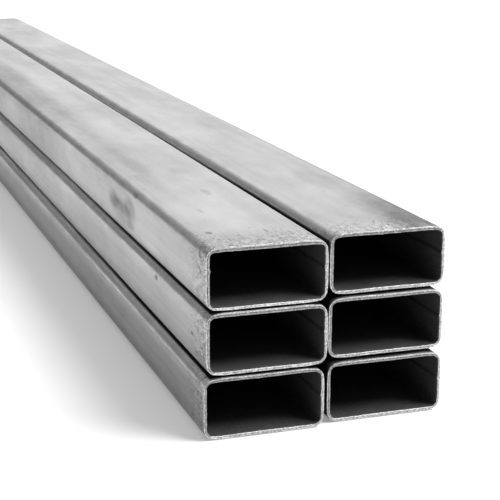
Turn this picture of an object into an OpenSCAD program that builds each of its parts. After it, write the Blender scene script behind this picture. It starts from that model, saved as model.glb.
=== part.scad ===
// A loose stack of rectangular hollow section steel tubes, two wide and three high, lying on its wide
// side. Each tube is a cold-rolled strip welded shut: an even wall with round corners inside and out.
// X runs across the stack, +Y along the tubes to their back ends, +Z up. The origin is on the ground
// at the middle of the stack's box.

/* [Tube] */
// Outer width of a tube, its wide side
tube_width = 60; // [40:1:120]
// Outer height of a tube, its narrow side
tube_height = 30; // [20:1:60]
// Thickness of the steel wall
wall = 2; // [1:0.1:4]
// Outer radius of the rolled corners
corner_radius = 4.5; // [4.1:0.1:9]
// Length that the tubes are cut to
tube_length = 1200; // [500:10:3000]

/* [Stack] */
// Air that burrs and slight bow leave between a tube and the one under it
row_gap = 0.8; // [0:0.1:3]
// Gap between the two columns at the tubes' back ends
back_gap = 0.8; // [0:0.1:3]
// Gap between the two columns at the front ends of the bottom row
front_gap_bottom = 2.4; // [0:0.1:6]
// Gap between the two columns at the front ends of the middle row
front_gap_middle = 2.1; // [0:0.1:6]
// Gap between the two columns at the front ends of the top row
front_gap_top = 3.4; // [0:0.1:6]
// How far the bottom row sits sideways of the rows above it
bottom_shift = -1.6; // [-4:0.1:4]

/* [Uneven ends] */
// How far the bottom left tube is pushed back
slip_bottom_left = 0; // [0:0.5:20]
// How far the bottom right tube is pushed back
slip_bottom_right = 3.5; // [0:0.5:20]
// How far the middle left tube is pushed back
slip_middle_left = 1; // [0:0.5:20]
// How far the middle right tube is pushed back
slip_middle_right = 6.5; // [0:0.5:20]
// How far the top left tube is pushed back
slip_top_left = 1.5; // [0:0.5:20]
// How far the top right tube is pushed back
slip_top_right = 9; // [0:0.5:20]

/* [Hidden] */
$fn = 64;

steel = "silver";
BOTTOM = 0;
MIDDLE = 1;
TOP = 2;
ROWS = [BOTTOM, MIDDLE, TOP];

left_slips = [slip_bottom_left, slip_middle_left, slip_top_left];
right_slips = [slip_bottom_right, slip_middle_right, slip_top_right];
front_gaps = [front_gap_bottom, front_gap_middle, front_gap_top];
row_shifts = [bottom_shift, 0, 0];
row_pitch = tube_height + row_gap;

// Each right tube splays by its own small angle, so that its gap grows from the back to the front.
function splay(row) = asin((front_gaps[row] - back_gap) / tube_length);
// Back end's left edge of a row's right tube, from the left edge of the upper rows
function right_edge(row) = row_shifts[row] + tube_width + back_gap;

// The stack's box, before it is centred
box_left = min([for (row = ROWS) row_shifts[row]]);
box_right = max([for (row = ROWS)
    right_edge(row) + tube_width * cos(splay(row)) + max(0, tube_length * sin(splay(row)))]);
box_front = min([for (row = ROWS)
    min(left_slips[row], right_slips[row] + tube_length * (1 - cos(splay(row)))
        + min(0, tube_width * sin(splay(row))))]);
box_back = tube_length + max([for (row = ROWS)
    max(left_slips[row], right_slips[row] + max(0, tube_width * sin(splay(row))))]);

// Outline with four equal round corners, its lower left corner at the origin
module rounded_rectangle(width, height, radius) {
    translate([radius, 0]) square([width - 2 * radius, height]);
    translate([0, radius]) square([width, height - 2 * radius]);
    for (x = [radius, width - radius], y = [radius, height - radius])
        translate([x, y]) circle(radius);
}

// Cross-section of a tube: the strip's even wall around the bore
module section() {
    difference() {
        rounded_rectangle(tube_width, tube_height, corner_radius);
        translate([wall, wall])
            rounded_rectangle(tube_width - 2 * wall, tube_height - 2 * wall, corner_radius - wall);
    }
}

// One tube, with its back end's lower left corner at the origin, running to -Y
module tube() {
    rotate([90, 0, 0]) linear_extrude(height = tube_length) section();
}

// Puts a tube, given by its back end's corner and its splay, into the centred stack.
module in_stack(x, row, slip, angle) {
    back_x = x - (box_left + box_right) / 2;
    back_y = slip + tube_length - (box_front + box_back) / 2;
    translate([back_x, back_y, row * row_pitch]) rotate([0, 0, angle]) tube();
}

module left_tube(row) {
    in_stack(row_shifts[row], row, left_slips[row], 0);
}

module right_tube(row) {
    in_stack(right_edge(row), row, right_slips[row], splay(row));
}

module tube_bottom_left() { color(steel) left_tube(BOTTOM); }
module tube_bottom_right() { color(steel) right_tube(BOTTOM); }
module tube_middle_left() { color(steel) left_tube(MIDDLE); }
module tube_middle_right() { color(steel) right_tube(MIDDLE); }
module tube_top_left() { color(steel) left_tube(TOP); }
module tube_top_right() { color(steel) right_tube(TOP); }

tube_bottom_left();
tube_bottom_right();
tube_middle_left();
tube_middle_right();
tube_top_left();
tube_top_right();
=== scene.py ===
import math

import bpy
import numpy as np
from mathutils import Matrix, Vector


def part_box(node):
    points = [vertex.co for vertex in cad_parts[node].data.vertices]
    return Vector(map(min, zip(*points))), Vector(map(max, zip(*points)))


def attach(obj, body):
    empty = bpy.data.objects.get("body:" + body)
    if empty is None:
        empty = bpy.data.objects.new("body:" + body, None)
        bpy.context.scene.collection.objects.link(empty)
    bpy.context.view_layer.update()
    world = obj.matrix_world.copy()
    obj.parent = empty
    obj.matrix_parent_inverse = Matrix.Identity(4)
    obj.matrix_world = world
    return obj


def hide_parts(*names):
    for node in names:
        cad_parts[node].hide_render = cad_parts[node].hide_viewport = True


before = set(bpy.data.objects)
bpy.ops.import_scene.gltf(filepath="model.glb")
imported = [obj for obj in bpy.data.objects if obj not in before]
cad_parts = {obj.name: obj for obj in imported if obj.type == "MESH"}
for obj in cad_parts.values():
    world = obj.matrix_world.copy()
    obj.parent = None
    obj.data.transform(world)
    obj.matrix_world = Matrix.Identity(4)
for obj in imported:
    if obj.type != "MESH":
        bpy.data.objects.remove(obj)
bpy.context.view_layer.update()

# A loose stack of rectangular hollow section steel tubes, dressed for the camera. Each CAD tube is
# replaced by a finer mesh of the same size and place, with sawn and burred ends, a weld bead in the
# bore and mill-finish steel outside. Lengths are metres, in the CAD's own frame: +Y runs along the
# tubes to their back ends, +Z is up, and the origin is on the ground at the middle of the stack.

MM = 0.001
BODY = "root"
TUBES = sorted(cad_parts)
FIRST_SEED = 11

# The section, as in the CAD
WALL = 2.0 * MM
CORNER_RADIUS = 4.5 * MM

# Mesh spacing: round the section, behind each cut, and along the rest of the tube
ROUND_STEP = 0.46 * MM
END_STEPS = [0.75 * MM, 1.05 * MM, 1.5 * MM, 3 * MM, 6 * MM, 12 * MM, 25 * MM]
LENGTH_STEP = 50 * MM

# The order of a tube's finishes
OUTSIDE, RIM, BORE = 0, 1, 2

# A tube's ends, which are also the shares of the way along it
FRONT, BACK = 0, 1

# A wall is flat where its normal points at least this much straight out
STRAIGHT_OUT = 0.99

# How far the rolled faces dip in the middle and wander along the tube, in two waves (radians a metre)
FACE_HOLLOW = 0.12 * MM
FACE_WANDER = 0.05 * MM
LONG_WAVE = 23
SHORT_WAVE = 61

# The rolled corners run softly into the faces: how much they give way, and over what distance
CORNER_GIVE = 0.80 * MM
BORE_CORNER_GIVE = 0.35 * MM
CORNER_SPREAD = 5.4 * MM

# The sawn end: (share of the way from the outer to the inner edge, how far behind the cut plane), and
# how far the saw's grain takes it either way
RIM_PROFILE = [
    (0.00, 0.30 * MM),
    (0.03, 0.15 * MM),
    (0.08, 0.06 * MM),
    (0.16, 0.01 * MM),
    (0.27, 0.00 * MM),
    (0.36, 0.05 * MM),
    (0.50, 0.24 * MM),
    (0.64, 0.20 * MM),
    (0.80, 0.03 * MM),
    (0.94, 0.05 * MM),
    (1.00, 0.22 * MM),
]
RIM_GRAIN = 0.16 * MM

# The side that the saw comes from, across and up. Rims of walls that face it keep the painted groove in
# full, and rims of walls that face away are painted lighter, as painted light.
SIDE_UP_LEFT = np.array([-0.6, 0.8])

# The outer edge rolls over, and the inner edge carries a burr with tags. Both fade behind the cut.
ROLL_OVER = 0.16 * MM
ROLL_REACH = 0.5 * MM
BURR = 0.16 * MM
BURR_TAG = 0.30 * MM
BURR_REACH = 0.5 * MM

# Where the saw leaves, the inner edge is worn back: on the right wall and on the lower one
CHAMFER_RIGHT = 0.60 * MM
CHAMFER_BELOW = 0.45 * MM

# How much more, or less, the inner edge stands in at each front end: on the walls that face the saw,
# upper and left, and on the lower wall. Then how far a normal turns that way before it counts, and
# from where it counts in full.
RIM_SHIFT = {
    "tube_top_left": (0.30 * MM, -0.40 * MM),
    "tube_top_right": (-0.10 * MM, 0.0),
    "tube_middle_left": (0.0, -0.15 * MM),
    "tube_middle_right": (-0.25 * MM, 0.0),
    "tube_bottom_left": (-0.35 * MM, 0.0),
    "tube_bottom_right": (-0.35 * MM, 0.0),
}
SAW_SIDE = (0.3, 0.6)
LOWER_SIDE = (0.8, 1.0)

# Burr also swells the outer faces a little at the cut, between two tubes
FLARE = 0.08 * MM
FLARE_REACH = 0.8 * MM

# One larger tag of burr on the left wall of a front end: its height above the ground, how far it
# spreads along the edge, and how far it reaches in
TAG_TUBE = "tube_top_left"
TAG_HEIGHT = 80.4 * MM
TAG_SPREAD = 0.6 * MM
TAG_REACH = 0.55 * MM

# The weld bead on the bore's right-hand wall: how far above the wall's middle it lies, how far it
# wanders from there, and how fast (radians a metre)
BEAD_HALF_WIDTH = 0.9 * MM
BEAD_HEIGHT = 0.28 * MM
BEAD_RISE = 1.4 * MM
BEAD_DRIFT = 0.2 * MM
BEAD_WAVE = 90

# Painted shade: the steel is painted darker where a face looks out on little but other tubes, standing
# in for the shade between them. These are the shares of its outlook that have to be clear for full
# painted shade and for none.
PAINTED_SHADE_FULL = 0.20
PAINTED_SHADE_NONE = 0.50

# The painted shade stops short of the cut. It is full near the ends and thins to a share of itself in
# the middle of the tube. The places are shares of the length.
PAINTED_SHADE_CLEAR_OF_CUT = 2.5 * MM
PAINTED_SHADE_FADE_FROM = 0.03
PAINTED_SHADE_FADE_TO = 0.35
PAINTED_SHADE_BACK_FROM = 0.75
PAINTED_SHADE_MIDDLE = 0.10

# How a face's outlook is sampled: to either side of straight out (radians), in how many directions,
# and at what distances
SIGHT_REACH = 1.4
SIGHT_ANGLES = 25
SIGHT_STEPS = [d * MM for d in (0.3, 0.6, 1.0, 1.5, 2.1, 2.8, 3.6, 4.6, 6, 8, 11, 15, 21, 30)]


# ---------------------------------------------------------------------------------------- tubes


def place_of(node):
    """Where a CAD tube lies: the middles of its front and back ends, its width and its height."""
    low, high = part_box(node)
    points = np.array([vertex.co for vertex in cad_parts[node].data.vertices])
    halves = [points[points[:, 1] < 0], points[points[:, 1] > 0]]
    ends = [Vector((half.min(axis=0) + half.max(axis=0)) / 2) for half in halves]
    width = halves[FRONT][:, 0].max() - halves[FRONT][:, 0].min()
    return ends[FRONT], ends[BACK], width, high.z - low.z


def section_points(width, height):
    """Points and normals once round a tube's section, and the core rectangle's half size.

    Each point is on the rectangle through the corners' centres, and the outer face lies one corner
    radius further out along its normal.
    """
    half_w = width / 2 - CORNER_RADIUS
    half_h = height / 2 - CORNER_RADIUS
    corners = [(half_w, half_h), (-half_w, half_h), (-half_w, -half_h), (half_w, -half_h)]
    arc_steps = round(CORNER_RADIUS * math.pi / 2 / ROUND_STEP)
    cores = []
    normals = []
    for turn, (x, z) in enumerate(corners):
        for step in range(arc_steps + 1):
            angle = (turn + step / arc_steps) * math.pi / 2
            cores.append((x, z))
            normals.append((math.cos(angle), math.sin(angle)))
        next_x, next_z = corners[(turn + 1) % 4]
        flat = math.hypot(next_x - x, next_z - z)
        flat_steps = round(flat / ROUND_STEP)
        for step in range(1, flat_steps):
            share = step / flat_steps
            cores.append((x + (next_x - x) * share, z + (next_z - z) * share))
            normals.append(normals[-1])
    return np.array(cores), np.array(normals), np.array([half_w, half_h])


def ring_noise(rng, count, spread):
    """Random values round a ring, from -1 to 1, evened out over `spread` neighbours."""
    raw = rng.uniform(-1, 1, count + 2 * spread)
    raw[:spread] = raw[count:count + spread]
    raw[count + spread:] = raw[spread:2 * spread]
    weights = np.hanning(spread + 2)[1:-1]
    even = np.convolve(raw, weights / weights.sum(), mode="same")[spread:count + spread]
    return even / np.abs(even).max()


def smooth(value, low, high):
    """0 below low, 1 above high, and an even ramp between."""
    share = np.clip((value - low) / (high - low), 0, 1)
    return share * share * (3 - 2 * share)


def corner_nearness(cores, normals, half):
    """1 in the middle of a rolled corner, fading to 0 on the flat faces."""
    along_flat = np.hypot(*(half - np.abs(cores)).T)
    turned = np.arctan2(normals[:, 1], normals[:, 0]) % (math.pi / 2) - math.pi / 4
    distance = along_flat + CORNER_RADIUS * np.abs(turned)
    return np.exp(-((distance / CORNER_SPREAD) ** 2))


def face_dip(cores, half, along, phases):
    """How far a rolled face lies inside the CAD's flat face, never negative."""
    across = np.abs(cores / half).min(axis=1)
    hollow = FACE_HOLLOW * np.cos(across * math.pi / 2) ** 2
    wave = np.sin(along * LONG_WAVE + phases[0] + 1.5 * across) + np.sin(along * SHORT_WAVE + phases[1])
    return hollow + FACE_WANDER * (1 + wave / 2) * np.cos(across * math.pi / 2)


def open_share(node, end, cores, normals):
    """How much of what a point on the outer face looks out on is clear of the other tubes."""
    middle = place_of(node)[end]
    points = cores + normals * CORNER_RADIUS + np.array([middle.x, middle.z])
    facing = np.arctan2(normals[:, 1], normals[:, 0])
    others = [place_of(other) for other in TUBES if other != node]
    clear = np.zeros(len(points))
    total = 0.0
    for turn in np.linspace(-SIGHT_REACH, SIGHT_REACH, SIGHT_ANGLES):
        heading = np.stack([np.cos(facing + turn), np.sin(facing + turn)], axis=1)
        blocked = np.zeros(len(points), bool)
        for front, back, width, height in others:
            centre = (front, back)[end]
            core_half = np.array([width / 2, height / 2]) - CORNER_RADIUS
            for step in SIGHT_STEPS:
                offset = np.abs(points + heading * step - np.array([centre.x, centre.z])) - core_half
                blocked |= np.hypot(*np.clip(offset, 0, None).T) < CORNER_RADIUS
        clear += math.cos(turn) * ~blocked
        total += math.cos(turn)
    return clear / total


def bead_shape(cores, normals, along, phases):
    """The weld bead's height over the bore's right-hand wall, from 0 to 1."""
    centre = BEAD_RISE + BEAD_DRIFT * math.sin(along * BEAD_WAVE + phases[2])
    shape = np.exp(-(((cores[:, 1] - centre) / BEAD_HALF_WIDTH) ** 4))
    return np.where(normals[:, 0] > STRAIGHT_OUT, shape, 0.0)


def tube_piece(node, seed):
    """A tube with rolled faces, sawn rims and a beaded bore, where the CAD tube lies."""
    front, back, width, height = place_of(node)
    axis = (back - front).normalized()
    right = axis.cross(Vector((0, 0, 1))).normalized()
    length = (back - front).length
    cores, normals, half = section_points(width, height)
    count = len(cores)
    rng = np.random.default_rng(seed)
    phases = rng.uniform(0, 2 * math.pi, 3)

    middle_count = round(length / LENGTH_STEP)
    inner_part = [length * k / middle_count for k in range(1, middle_count)]
    stations = END_STEPS + inner_part + [length - s for s in reversed(END_STEPS)]

    nearness = corner_nearness(cores, normals, half)
    open_ends = [open_share(node, end, cores, normals) for end in (FRONT, BACK)]
    # How far each point faces up and left, from 0 to 1: rims are painted lighter where it is low, as
    # painted light
    facing_up_left = (normals @ SIDE_UP_LEFT + 1) / 2

    # The rings of points, and what the finishes read at each point
    rings = []
    from_cut = []
    across = []
    seam = []
    painted_shade = []
    rounding = []
    material = []

    def hidden(way):
        """How far each point's outlook is shut in by the other tubes, from 0 to 1."""
        seen = open_ends[FRONT] * (1 - way) + open_ends[BACK] * way
        return 1 - smooth(seen, PAINTED_SHADE_FULL, PAINTED_SHADE_NONE)

    def add_ring(along, depth, share, bead, slot):
        """One ring of points, at distances along the tube and depths under the CAD's outer face.

        The share is how far the ring lies from the outer face to the bore, from 0 to 1.
        """
        way = np.clip(np.mean(along) / length, 0, 1)
        # Painted shade: how much darker the steel is painted here, standing in for the shade between the
        # tubes
        thinned = smooth(way, PAINTED_SHADE_FADE_FROM, PAINTED_SHADE_FADE_TO) * (1 - smooth(way, PAINTED_SHADE_BACK_FROM, 1))
        shade_kept = 1 - (1 - PAINTED_SHADE_MIDDLE) * thinned
        away_from_cut = smooth(np.minimum(along, length - along), 0, PAINTED_SHADE_CLEAR_OF_CUT)
        painted_shade.append(hidden(way) * shade_kept * away_from_cut * (1 - share))
        rounding.append(nearness)
        reach = normals * (CORNER_RADIUS - depth)[:, None] + cores
        points = np.outer(reach[:, 0], right) + np.outer(along, axis)
        points[:, 2] += reach[:, 1]
        rings.append(points + np.array(front))
        from_cut.append(np.minimum(along, length - along))
        across.append(np.full(count, share))
        seam.append(bead)
        material.append(slot)

    edges = {}
    for end in (FRONT, BACK):
        roll = ROLL_OVER * (0.5 + 0.5 * ring_noise(rng, count, 2))
        tags = np.clip(ring_noise(rng, count, 3), 0, 1) ** 4
        burr = BURR * (0.5 + 0.5 * ring_noise(rng, count, 2)) + BURR_TAG * tags
        if node == TAG_TUBE and end == FRONT:
            away = cores[:, 1] + front.z - TAG_HEIGHT
            burr += TAG_REACH * np.exp(-((away / TAG_SPREAD) ** 2)) * (normals[:, 0] < -STRAIGHT_OUT)
        burr -= CHAMFER_RIGHT * np.clip(normals[:, 0], 0, 1) ** 4
        burr -= CHAMFER_BELOW * np.clip(-normals[:, 1], 0, 1) ** 4
        if node in RIM_SHIFT and end == FRONT:
            shift_saw_side, shift_below = RIM_SHIFT[node]
            burr += shift_saw_side * smooth(normals @ SIDE_UP_LEFT, *SAW_SIDE)
            burr += shift_below * smooth(-normals[:, 1], *LOWER_SIDE)
        edges[end] = (roll, burr, FLARE * hidden(end))

    def outer_depth(along):
        """How deep the outer face lies under the CAD's, round the ring at one place."""
        depth = face_dip(cores, half, along, phases) + CORNER_GIVE * nearness
        for end, (roll, burr, flare) in edges.items():
            gone = along if end == FRONT else length - along
            depth = depth + roll * math.exp(-gone / ROLL_REACH)
            depth = depth - flare * math.exp(-((gone / FLARE_REACH) ** 2))
        return depth

    def bore_depth(along):
        """How deep the bore's face lies under the CAD's outer face, round the ring at one place."""
        depth = WALL + face_dip(cores, half, along, phases) + BORE_CORNER_GIVE * nearness
        depth = depth + BEAD_HEIGHT * bead_shape(cores, normals, along, phases)
        for end, (roll, burr, flare) in edges.items():
            gone = along if end == FRONT else length - along
            depth = depth + burr * math.exp(-((gone / BURR_REACH) ** 2))
        return depth

    def add_rim(end):
        """The sawn rim, from the outer edge to the bore in front and from the bore out at the back."""
        outside = outer_depth(0 if end == FRONT else length)
        inside = bore_depth(0 if end == FRONT else length)
        profile = RIM_PROFILE if end == FRONT else RIM_PROFILE[::-1]
        for share, behind in profile:
            grain = RIM_GRAIN * ring_noise(rng, count, 2) * math.sin(math.pi * min(share + 0.15, 1))
            cut = np.clip(behind + grain, 0, None)
            along = cut if end == FRONT else length - cut
            bead = bead_shape(cores, normals, 0, phases) * share
            add_ring(along, outside + (inside - outside) * share, share, bead, RIM)

    add_rim(FRONT)
    for station in stations:
        bead = bead_shape(cores, normals, station, phases)
        add_ring(np.full(count, station), bore_depth(station), 1.0, bead, BORE)
    add_rim(BACK)
    for station in reversed(stations):
        bead = bead_shape(cores, normals, station, phases)
        add_ring(np.full(count, station), outer_depth(station), 0.0, bead, OUTSIDE)

    return ring_mesh(node + "_skin", rings, material, {
        "from_cut": from_cut,
        "across": across,
        "seam": seam,
        "painted_shade": painted_shade,
        "rounding": rounding,
        "facing_up_left": [facing_up_left] * len(rings),
    })


def ring_mesh(name, rings, material, values):
    """A closed tube wall whose rings join one to the next, and the last one to the first."""
    ring_count = len(rings)
    count = len(rings[0])
    ring, spot = np.meshgrid(np.arange(ring_count), np.arange(count), indexing="ij")
    next_ring = (ring + 1) % ring_count
    next_spot = (spot + 1) % count
    faces = np.stack([
        ring * count + spot,
        ring * count + next_spot,
        next_ring * count + next_spot,
        next_ring * count + spot,
    ], axis=-1).reshape(-1, 4)
    mesh = bpy.data.meshes.new(name)
    mesh.from_pydata(np.concatenate(rings), [], faces)
    slots = []
    for here, there in zip(material, material[1:] + material[:1]):
        # Where a rim ends, the strip up to the next ring already belongs to the bore or the outside
        slots.append(there if here == RIM else here)
    mesh.polygons.foreach_set("material_index", np.repeat(slots, count))
    for label, data in values.items():
        attribute = mesh.attributes.new(label, "FLOAT", "POINT")
        attribute.data.foreach_set("value", np.concatenate(data).astype(np.float32))
    mesh.update()
    piece = bpy.data.objects.new(name, mesh)
    bpy.context.scene.collection.objects.link(piece)
    return piece


# ------------------------------------------------------------------------------------- finishes

WHITE = (1, 1, 1, 1)

# A noise node's values mostly lie between these
NOISE_LOW = 0.3
NOISE_HIGH = 0.7


class Nodes:
    """Short calls for the nodes of one node tree."""

    def __init__(self, tree):
        self.tree = tree

    def add(self, kind):
        return self.tree.nodes.new(kind)

    def put(self, socket, value):
        """Links a socket to another node's output, or sets it to a plain value."""
        if isinstance(value, bpy.types.NodeSocket):
            self.tree.links.new(value, socket)
        else:
            socket.default_value = value

    def math(self, operation, a, b=0.0):
        node = self.add("ShaderNodeMath")
        node.operation = operation
        self.put(node.inputs[0], a)
        self.put(node.inputs[1], b)
        return node.outputs[0]

    def plus(self, a, b):
        return self.math("ADD", a, b)

    def minus(self, a, b):
        return self.math("SUBTRACT", a, b)

    def times(self, a, b):
        return self.math("MULTIPLY", a, b)

    def vector(self, operation, a, b, output="Vector"):
        node = self.add("ShaderNodeVectorMath")
        node.operation = operation
        self.put(node.inputs[0], a)
        self.put(node.inputs[1], b)
        return node.outputs[output]

    def axes_of(self, vector):
        node = self.add("ShaderNodeSeparateXYZ")
        self.put(node.inputs[0], vector)
        return node.outputs

    def remap(self, value, from_low, from_high, to_low, to_high):
        """Takes a value from one range to another along a smooth ramp, and no further."""
        node = self.add("ShaderNodeMapRange")
        node.interpolation_type = "SMOOTHSTEP"
        settings = [value, from_low, from_high, to_low, to_high]
        for socket, setting in zip(node.inputs, settings):
            self.put(socket, setting)
        return node.outputs["Result"]

    def seen_directly(self):
        """1 where the camera looks straight at a thing, 0 for light and mirror images."""
        return self.add("ShaderNodeLightPath").outputs["Is Camera Ray"]


class Finish(Nodes):
    """A steel material, with a short call for each kind of mark that it has."""

    def __init__(self, name):
        self.material = bpy.data.materials.new(name)
        self.material.use_nodes = True
        super().__init__(self.material.node_tree)
        self.shader = self.tree.nodes["Principled BSDF"]
        self.place = self.add("ShaderNodeTexCoord").outputs["Object"]

    def noise(self, per_metre, detail=3.0, roughness=0.55, shift=0.0):
        """Noise with its own number of grains per metre along each axis."""
        node = self.add("ShaderNodeTexNoise")
        moved = self.vector("ADD", self.place, (shift, shift * 2, shift * 3))
        self.put(node.inputs["Vector"], self.vector("MULTIPLY", moved, per_metre))
        self.put(node.inputs["Scale"], 1.0)
        self.put(node.inputs["Detail"], detail)
        self.put(node.inputs["Roughness"], roughness)
        return node.outputs["Fac"]

    def swing(self, noise, low, high):
        """Spreads a noise's usual range over another one."""
        return self.remap(noise, NOISE_LOW, NOISE_HIGH, low, high)

    def darken(self, tone, share):
        """A tone less a share of itself."""
        return self.times(tone, self.minus(1.0, share))

    def value_of(self, label):
        """A value that the mesh holds at each of its points."""
        node = self.add("ShaderNodeAttribute")
        node.attribute_name = label
        return node.outputs["Fac"]

    def spot(self, centre, radii):
        """1 in the middle of a soft ellipsoid and 0 outside it, given in millimetres."""
        offset = self.vector("SUBTRACT", self.place, Vector(centre) * MM)
        scaled = self.vector("DIVIDE", offset, Vector(radii) * MM)
        distance = self.vector("LENGTH", scaled, (0, 0, 0), "Value")
        return self.remap(distance, SPOT_CORE, 1.0, 1.0, 0.0)

    def bump(self, height, distance, strength, under=None):
        """A normal roughened by a height, on top of another one if that is given."""
        node = self.add("ShaderNodeBump")
        self.put(node.inputs["Height"], height)
        self.put(node.inputs["Distance"], distance)
        self.put(node.inputs["Strength"], strength)
        if under is not None:
            self.put(node.inputs["Normal"], under)
        return node.outputs["Normal"]

    def done(self, tone, roughness, normal, metallic):
        """Wires the shader up in neutral grey, and hands over the material."""
        grey = self.add("ShaderNodeCombineColor")
        for socket in list(grey.inputs)[:3]:
            self.put(socket, tone)
        self.put(self.shader.inputs["Base Color"], grey.outputs["Color"])
        self.put(self.shader.inputs["Roughness"], roughness)
        self.put(self.shader.inputs["Normal"], normal)
        self.shader.inputs["Metallic"].default_value = metallic
        return self.material


# The mill finish: its tone, and how far each kind of mark takes it darker or lighter
MILL_TONE = 0.535
MILL_METALLIC = 0.92
MILL_ROUGHNESS = 0.37
STREAK_SWING = 0.016
BROAD_STREAK_SWING = 0.030
CLOUD_SWING = 0.024
SMUDGE_DARK = 0.045
SMUDGE_LIGHT = 0.035
WELD_DARK = 0.10

# Streaks are stronger on the lower tubes: the height that this starts from, where it is full, how much
STREAKS_PLAIN_ABOVE = 90 * MM
STREAKS_STRONG_BELOW = 10 * MM
STREAKS_LOW_GAIN = 3.0

# Marks from sawing and handling crowd the cut ends: grain as far as here, blotches between these two
GRAIN_SWING = 0.14
GRAIN_REACH = 45 * MM
BLOTCH_DARK = 0.13
BLOTCH_LIGHT = 0.09
BLOTCH_FULL_TO = 4 * MM
BLOTCH_REACH = 28 * MM

# A speck shows where its noise is under a limit, which is higher by the cut
SPECK_LIMIT = 0.30
SPECK_LIMIT_BY_CUT = 0.405
SPECK_INSIDE = -0.04
SPECK_OUTSIDE = 0.03
SPECK_DARKENING = 0.45
SPECK_ROUGHENING = 0.25

# The rolled corners are rubbed, lighter and darker by turns
RUB_SWING = 0.7
RUB_DARKENING = 0.14

# What is left of the steel's tone under full painted shade, and how rough it is made there
PAINTED_SHADE_TONE = 0.06
PAINTED_SHADE_ROUGHNESS = 0.95

# Marks on the outer faces, in millimetres: (centre, radii, how much they darken the steel). A minus
# is a lighter mark. The core of each is even, and its edge is ragged. The dark right-hand front corner
# and edge of the top right tube are a painted reflection.
SPOT_CORE = 0.35
SPOT_RAG = 0.7
STAINS_AND_PAINTED_REFLECTION = [
    # A smudge on the top left tube's left side
    ((-60.9, -463, 80.2), (4, 16, 8.5), 0.42),
    ((-60.9, -427, 77.5), (4, 16, 6.8), 0.46),
    ((-60.9, -445, 76.5), (4, 28, 5), 0.38),
    ((-60.9, -465, 70.6), (4, 12, 3.4), 0.32),
    ((-60.9, -447, 74.5), (4, 37, 9.5), 0.36),
    ((-60, -473.5, 88.5), (3, 6, 2.5), 0.35),
    # Lighter steel in front of it, and a broad darker stretch towards the back
    ((-60.9, -505, 69), (4, 30, 2.8), -0.14),
    ((-60.9, -50, 76), (10, 420, 30), 0.26),
    # Two spots on the middle left tube's left side
    ((-60.9, -516.7, 55.2), (2, 4.2, 1.7), 0.75),
    ((-60.9, -582, 45.4), (2, 3, 1.5), 0.75),
    # Small marks on the top left tube's top
    ((-50.5, -576, 91.6), (2.4, 3.6, 2), 0.62),
    ((-23.5, -579.5, 91.6), (1.2, 5, 2), 0.45),
    ((-41, -530, 91.6), (1.8, 7, 2), 0.2),
    ((-25, -488, 91.6), (2.8, 10, 2), 0.2),
    # Soft smudges on it, further back
    ((-23, -428, 91.6), (8, 15, 3), 0.16),
    ((-43, -405, 91.6), (8.5, 38, 3), 0.16),
    ((-49, -445, 91.6), (5, 18, 3), 0.15),
    # Dull patches by its front end, and its left strip towards the back
    ((-4, -600, 91.6), (5, 1.8, 3), 0.3),
    ((-38, -605, 91.6), (30, 40, 10), 0.16),
    ((-47, -20, 91.6), (17, 520, 10), 0.3),
    ((-40, -140, 91.6), (17, 340, 10), 0.13),
    # The top right tube's top: a painted reflection that darkens its right-hand front corner and edge,
    # and soft smudges
    ((56, -585, 91.6), (24, 100, 20), 0.55),
    ((62.5, -400, 90.5), (8, 400, 8), 0.42),
    ((58.5, -590, 90.5), (6.5, 90, 12), 0.48),
    ((50, -572, 91.6), (9, 22, 6), 0.25),
    ((43, -473, 91.6), (12, 40, 6), 0.22),
    ((26, -478, 91.6), (10, 25, 6), 0.1),
    ((30, -590, 91.6), (11, 12, 6), -0.12),
    ((35, -520, 91.6), (50, 130, 20), 0.08),
]


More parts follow.
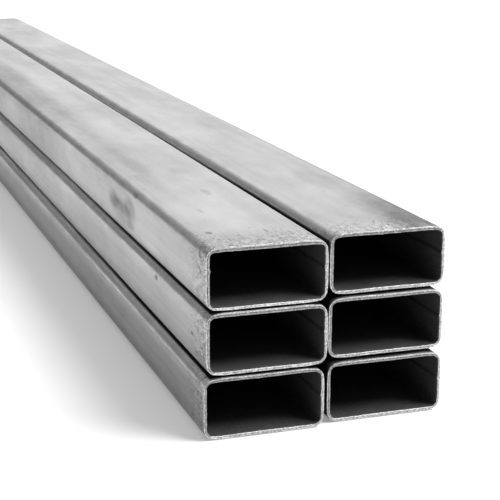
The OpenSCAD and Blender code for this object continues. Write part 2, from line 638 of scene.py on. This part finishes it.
def mill_finish():
    """Bare cold-rolled steel: long roll streaks, soft smudges, and specks that crowd the cut ends, with
    painted shade where the tubes close each other in, and a painted reflection on the top right tube.
    """
    mill = Finish("mill_finish")
    streak = mill.noise((760, 3, 760))
    broad_streak = mill.noise((70, 1.2, 70), shift=3.1)
    cloud = mill.noise((100, 42, 100), detail=4, roughness=0.6, shift=11.8)
    smudge = mill.noise((22, 7, 22), detail=4, shift=7.7)
    grain = mill.noise((1500, 700, 1500), shift=1.3)
    blotch = mill.noise((330, 170, 330), shift=16.4)
    scuff = mill.noise((420, 60, 420), detail=4, roughness=0.65, shift=14.2)
    rag = mill.noise((160, 90, 160), shift=9.4)
    speck_field = mill.noise((620, 330, 620), detail=4, roughness=0.6, shift=5.9)

    height = mill.axes_of(mill.place)["Z"]
    low_gain = mill.remap(height, STREAKS_PLAIN_ABOVE, STREAKS_STRONG_BELOW, 1.0, STREAKS_LOW_GAIN)
    from_cut = mill.value_of("from_cut")
    near_cut = mill.remap(from_cut, 0.0, GRAIN_REACH, 1.0, 0.0)
    blotched = mill.remap(from_cut, BLOTCH_FULL_TO, BLOTCH_REACH, 1.0, 0.0)
    speck_limit = mill.remap(near_cut, 0.0, 1.0, SPECK_LIMIT, SPECK_LIMIT_BY_CUT)
    over_limit = mill.minus(speck_field, speck_limit)
    specks = mill.remap(over_limit, SPECK_INSIDE, SPECK_OUTSIDE, 1.0, 0.0)
    painted_shade = mill.value_of("painted_shade")

    tone = mill.times(mill.swing(streak, -STREAK_SWING, STREAK_SWING), low_gain)
    tone = mill.plus(MILL_TONE, tone)
    tone = mill.plus(tone, mill.swing(broad_streak, -BROAD_STREAK_SWING, BROAD_STREAK_SWING))
    tone = mill.plus(tone, mill.swing(cloud, -CLOUD_SWING, CLOUD_SWING))
    tone = mill.plus(tone, mill.swing(smudge, -SMUDGE_DARK, SMUDGE_LIGHT))
    tone = mill.plus(tone, mill.times(mill.swing(grain, -GRAIN_SWING, GRAIN_SWING), near_cut))
    tone = mill.plus(tone, mill.times(mill.remap(blotch, 0.35, 0.65, -BLOTCH_DARK, BLOTCH_LIGHT), blotched))
    tone = mill.darken(tone, mill.times(specks, SPECK_DARKENING))
    ragged = mill.remap(rag, 0.3, 0.62, SPOT_RAG, 1.0)
    # Stains and smudges, and the painted reflection on the top right tube's right-hand edge and corner
    for centre, radii, darkening in STAINS_AND_PAINTED_REFLECTION:
        mark = mill.times(mill.spot(centre, radii), ragged)
        tone = mill.darken(tone, mill.times(mark, darkening))
    tone = mill.minus(tone, mill.times(mill.value_of("seam"), WELD_DARK))
    rubbed = mill.times(mill.value_of("rounding"), mill.remap(scuff, 0.4, 0.6, RUB_SWING, -RUB_SWING))
    tone = mill.darken(tone, mill.times(rubbed, RUB_DARKENING))
    # Painted shade: the steel is painted darker where the other tubes close a face in
    tone = mill.times(tone, mill.remap(painted_shade, 0.0, 1.0, 1.0, PAINTED_SHADE_TONE))

    roughness = mill.plus(MILL_ROUGHNESS, mill.swing(smudge, 0.07, -0.05))
    roughness = mill.plus(roughness, mill.times(specks, SPECK_ROUGHENING))
    roughness = mill.math("MAXIMUM", roughness, mill.times(painted_shade, PAINTED_SHADE_ROUGHNESS))
    rolled = mill.bump(streak, 0.12 * MM, 0.25)
    pitted = mill.bump(mill.minus(1.0, specks), 0.18 * MM, 0.5, rolled)
    normal = mill.bump(mill.times(grain, near_cut), 0.12 * MM, 0.5, pitted)
    return mill.done(tone, roughness, normal, MILL_METALLIC)


# The sawn rims: bright, with a dull groove half way across, painted fainter on the rims of walls that
# face down and right, as painted light
SAWN_TONE = 0.72
SAWN_METALLIC = 0.9
SAWN_ROUGHNESS = 0.38
GROOVE_MIDDLE = 0.50
GROOVE_CORE = 0.06
GROOVE_REACH = 0.19
GROOVE_DULLING = 0.58
GROOVE_FACING_DOWN_RIGHT = 0.35

# Rims of walls that face down and right are painted brighter, as painted light; the bore's side of a
# rim is darker; and the outer edge is a dark line of painted shade
DOWN_RIGHT_BELOW = 0.1
UP_LEFT_ABOVE = 0.6
PAINTED_LIGHT_GAIN = 1.28
BORE_SIDE_DULLING = 0.22
OUTER_SHADE_LINE_TONE = 0.45
OUTER_SHADE_LINE_WIDTH = 0.14


def sawn_steel():
    """Fresh saw-cut steel: bright ragged edges, a duller grainy groove and fine saw lines, with painted
    light by the way each wall faces and a painted shade line along the outer edge.
    """
    sawn = Finish("sawn_steel")
    across = sawn.value_of("across")
    facing_up_left = sawn.value_of("facing_up_left")
    grain = sawn.noise((950, 950, 950), detail=4, roughness=0.75, shift=2.2)
    chips = sawn.noise((800, 800, 800), shift=4.6)
    saw_lines = sawn.noise((180, 180, 2600), detail=2, shift=8.8)

    from_groove = sawn.math("ABSOLUTE", sawn.minus(across, GROOVE_MIDDLE))
    dull = sawn.remap(from_groove, GROOVE_CORE, GROOVE_REACH, 1.0, 0.0)
    dull = sawn.times(dull, sawn.remap(chips, 0.36, 0.62, 1.0, 0.6))
    # Painted light: the groove is painted fainter on rims of walls that face down and right
    dull = sawn.times(dull, sawn.remap(facing_up_left, DOWN_RIGHT_BELOW, UP_LEFT_ABOVE, GROOVE_FACING_DOWN_RIGHT, 1.0))
    bore_side = sawn.remap(across, 0.5, 0.8, 0.0, 1.0)

    tone = sawn.minus(SAWN_TONE, sawn.times(dull, GROOVE_DULLING))
    tone = sawn.minus(tone, sawn.times(bore_side, BORE_SIDE_DULLING))
    # Painted shade: a dark line along the rim's outer edge
    tone = sawn.times(tone, sawn.remap(across, 0.0, OUTER_SHADE_LINE_WIDTH, OUTER_SHADE_LINE_TONE, 1.0))
    # Painted light: rims of walls that face down and right are painted brighter
    tone = sawn.times(tone, sawn.remap(facing_up_left, DOWN_RIGHT_BELOW, UP_LEFT_ABOVE, PAINTED_LIGHT_GAIN, 1.0))
    tone = sawn.times(tone, sawn.remap(grain, 0.35, 0.65, 0.55, 1.3))

    roughness = sawn.plus(SAWN_ROUGHNESS, sawn.swing(grain, -0.06, 0.10))
    lined = sawn.bump(saw_lines, 0.1 * MM, 0.4)
    normal = sawn.bump(grain, 0.2 * MM, 0.6, lined)
    return sawn.done(tone, roughness, normal, SAWN_METALLIC)


# The scale in the bores, and how much darker its weld bead is
BORE_TONE = 0.066
BORE_SPECULAR = 0.15
BEAD_DARKENING = 0.5


def bore_scale():
    """The bore's dull dark scale, with a darker weld bead."""
    bore = Finish("bore_scale")
    mottle = bore.noise((260, 120, 260), detail=4, shift=6.1)
    grain = bore.noise((1700, 900, 1700), shift=0.7)
    tone = bore.plus(BORE_TONE, bore.swing(mottle, -0.008, 0.008))
    tone = bore.plus(tone, bore.swing(grain, -0.015, 0.02))
    tone = bore.darken(tone, bore.times(bore.value_of("seam"), BEAD_DARKENING))
    roughness = bore.swing(mottle, 0.55, 0.75)
    normal = bore.bump(grain, 0.2 * MM, 0.5)
    bore.shader.inputs["Specular IOR Level"].default_value = BORE_SPECULAR
    return bore.done(tone, roughness, normal, 0.0)


def dress_tubes():
    """Makes each tube's detailed piece, hangs it from the body, and hides the CAD tube that it stands for.
    """
    finishes = [mill_finish(), sawn_steel(), bore_scale()]
    for seed, node in enumerate(TUBES, start=FIRST_SEED):
        piece = tube_piece(node, seed)
        for finish in finishes:
            piece.data.materials.append(finish)
        for face in piece.data.polygons:
            face.use_smooth = True
        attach(piece, BODY)
        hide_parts(node)


# --------------------------------------------------------------------------------------- studio

# The floor's half width and how far it lies under the stack, its tone, and what it glows with where the
# camera sees it, so that it comes out nearly white
FLOOR_HALF = 60.0
FLOOR_DROP = 0.1 * MM
FLOOR_TONE = 0.86
FLOOR_ROUGHNESS = 0.9
FLOOR_SPECULAR = 0.1
FLOOR_LIFT = 0.25

# The sky's strength on the left and on the right, and where across it changes (-1 left, 1 right)
SKY_LEFT = 0.5
SKY_RIGHT = 1.08
SKY_LEFT_TO = -0.2
SKY_RIGHT_FROM = 0.2

# What is left of it in front, and where along it changes (-1 in front, 1 behind)
SKY_FRONT_SHARE = 0.25
SKY_FRONT_TO = -0.5
SKY_BACK_FROM = 0.3

# The dark flag in the sky: its strength, where it hangs, and how far its core and its soft edge reach,
# in degrees
FLAG_TONE = 0.23
FLAG_AZIMUTH = -27.0
FLAG_ELEVATION = 3.0
FLAG_INNER = 3.0
FLAG_OUTER = 37.0

# The overhead light: its strength, its width, and its lean to the right and to the front, in degrees
SUN_POWER = 3.0
SUN_WIDTH = 34.0
SUN_RIGHT = 32.0
SUN_FORWARD = 17.0

# The camera, solved from the photo's front ends: metres, degrees, and millimetres for lens and sensor
CAMERA_PLACE = (-0.2319, -1.1673, 0.2434)
CAMERA_YAW = 18.835
CAMERA_PITCH = 14.509
CAMERA_ROLL = 0.182
CAMERA_LENS = 98.37
CAMERA_SENSOR = 36.0


def floor():
    """The pale floor that the stack lies on."""
    mesh = bpy.data.meshes.new("floor")
    reach = FLOOR_HALF
    corners = [(-reach, -reach, 0), (reach, -reach, 0), (reach, reach, 0), (-reach, reach, 0)]
    mesh.from_pydata(corners, [], [(0, 1, 2, 3)])
    plane = bpy.data.objects.new("floor", mesh)
    plane.location.z = -FLOOR_DROP
    bpy.context.scene.collection.objects.link(plane)
    paint = bpy.data.materials.new("floor_paint")
    paint.use_nodes = True
    nodes = Nodes(paint.node_tree)
    shader = paint.node_tree.nodes["Principled BSDF"]
    shader.inputs["Base Color"].default_value = (FLOOR_TONE, FLOOR_TONE, FLOOR_TONE, 1)
    shader.inputs["Roughness"].default_value = FLOOR_ROUGHNESS
    shader.inputs["Specular IOR Level"].default_value = FLOOR_SPECULAR
    shader.inputs["Emission Color"].default_value = WHITE
    nodes.put(shader.inputs["Emission Strength"], nodes.times(nodes.seen_directly(), FLOOR_LIFT))
    mesh.materials.append(paint)


def sky():
    """A soft white studio dome with one dark flag at the back left, which the round edges mirror."""
    world = bpy.data.worlds.new("studio")
    world.use_nodes = True
    bpy.context.scene.world = world
    nodes = Nodes(world.node_tree)
    heading = nodes.add("ShaderNodeTexCoord").outputs["Generated"]
    axes = nodes.axes_of(heading)
    plain = nodes.remap(axes["X"], SKY_LEFT_TO, SKY_RIGHT_FROM, SKY_LEFT, SKY_RIGHT)
    front_share = nodes.remap(axes["Y"], SKY_FRONT_TO, SKY_BACK_FROM, SKY_FRONT_SHARE, 1.0)

    azimuth = math.radians(FLAG_AZIMUTH)
    elevation = math.radians(FLAG_ELEVATION)
    flag = (
        math.sin(azimuth) * math.cos(elevation),
        math.cos(azimuth) * math.cos(elevation),
        math.sin(elevation),
    )
    nearness = nodes.vector("DOT_PRODUCT", heading, flag, "Value")
    edge = math.cos(math.radians(FLAG_OUTER))
    core = math.cos(math.radians(FLAG_INNER))
    flagged = nodes.remap(nearness, edge, core, plain, FLAG_TONE)

    # The camera itself sees plain white behind the stack
    dome = world.node_tree.nodes["Background"]
    dome.inputs["Color"].default_value = WHITE
    nodes.put(dome.inputs["Strength"], nodes.times(flagged, front_share))
    backdrop = nodes.add("ShaderNodeBackground")
    backdrop.inputs["Color"].default_value = WHITE
    backdrop.inputs["Strength"].default_value = 1.0
    mix = nodes.add("ShaderNodeMixShader")
    nodes.put(mix.inputs["Fac"], nodes.seen_directly())
    nodes.put(mix.inputs[1], dome.outputs["Background"])
    nodes.put(mix.inputs[2], backdrop.outputs["Background"])
    nodes.put(world.node_tree.nodes["World Output"].inputs["Surface"], mix.outputs["Shader"])


def overhead_light():
    """A very broad soft light from above, a little to the right and towards the front ends."""
    light = bpy.data.lights.new("overhead", "SUN")
    light.energy = SUN_POWER
    light.angle = math.radians(SUN_WIDTH)
    lamp = bpy.data.objects.new("overhead", light)
    towards = Vector((
        math.tan(math.radians(SUN_RIGHT)),
        -math.tan(math.radians(SUN_FORWARD)),
        1.0,
    ))
    lamp.rotation_mode = "QUATERNION"
    lamp.rotation_quaternion = towards.to_track_quat("Z", "Y")
    bpy.context.scene.collection.objects.link(lamp)


def camera():
    """The camera at the photograph's viewing angle."""
    data = bpy.data.cameras.new("camera")
    data.lens = CAMERA_LENS
    data.sensor_width = CAMERA_SENSOR
    data.clip_end = 2 * FLOOR_HALF
    cam = bpy.data.objects.new("camera", data)
    turn = Matrix.Rotation(math.radians(-CAMERA_YAW), 4, "Z")
    tilt = Matrix.Rotation(math.radians(90 - CAMERA_PITCH), 4, "X")
    roll = Matrix.Rotation(math.radians(CAMERA_ROLL), 4, "Z")
    cam.matrix_world = Matrix.Translation(CAMERA_PLACE) @ turn @ tilt @ roll
    bpy.context.scene.collection.objects.link(cam)
    bpy.context.scene.camera = cam
    bpy.context.scene.view_settings.view_transform = "Standard"


dress_tubes()
floor()
sky()
overhead_light()
camera()
